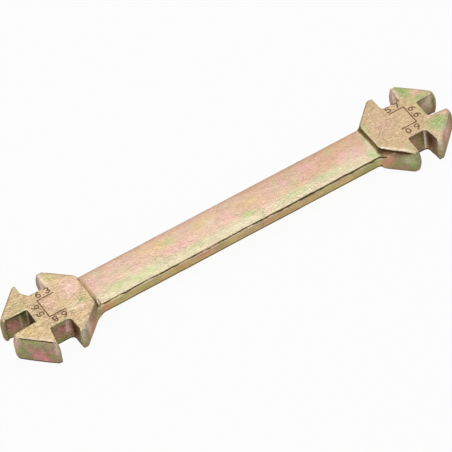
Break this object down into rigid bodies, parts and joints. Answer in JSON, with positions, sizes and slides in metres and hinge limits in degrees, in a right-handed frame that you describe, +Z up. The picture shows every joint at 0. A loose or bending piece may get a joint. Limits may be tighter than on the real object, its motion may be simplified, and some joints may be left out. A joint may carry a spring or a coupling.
{
  "type": "spoke wrench",
  "caption": "Flat double-ended spoke wrench: a forged bar with a square slotted head at each end, each slot a different spoke nipple size.",
  "frame": {"origin": "middle of the wrench's length and width, on the plane that its heads rest on", "axes": "+X along the handle to the head with the 6.6, 6.0 and 5.7 slots, +Y across the handle, +Z up through the engraved faces"},
  "size_m": [0.1568, 0.029, 0.0092],
  "materials": {
    "plated_steel": "forged steel with yellow passivated zinc plating, satin, with faint pink and green tints",
    "engraving": "burnt brown laser engraving, matt"
  },
  "bodies": {
    "root": {"handle": "plated_steel", "head_left": "plated_steel", "head_right": "plated_steel"}
  },
  "joints": []
}
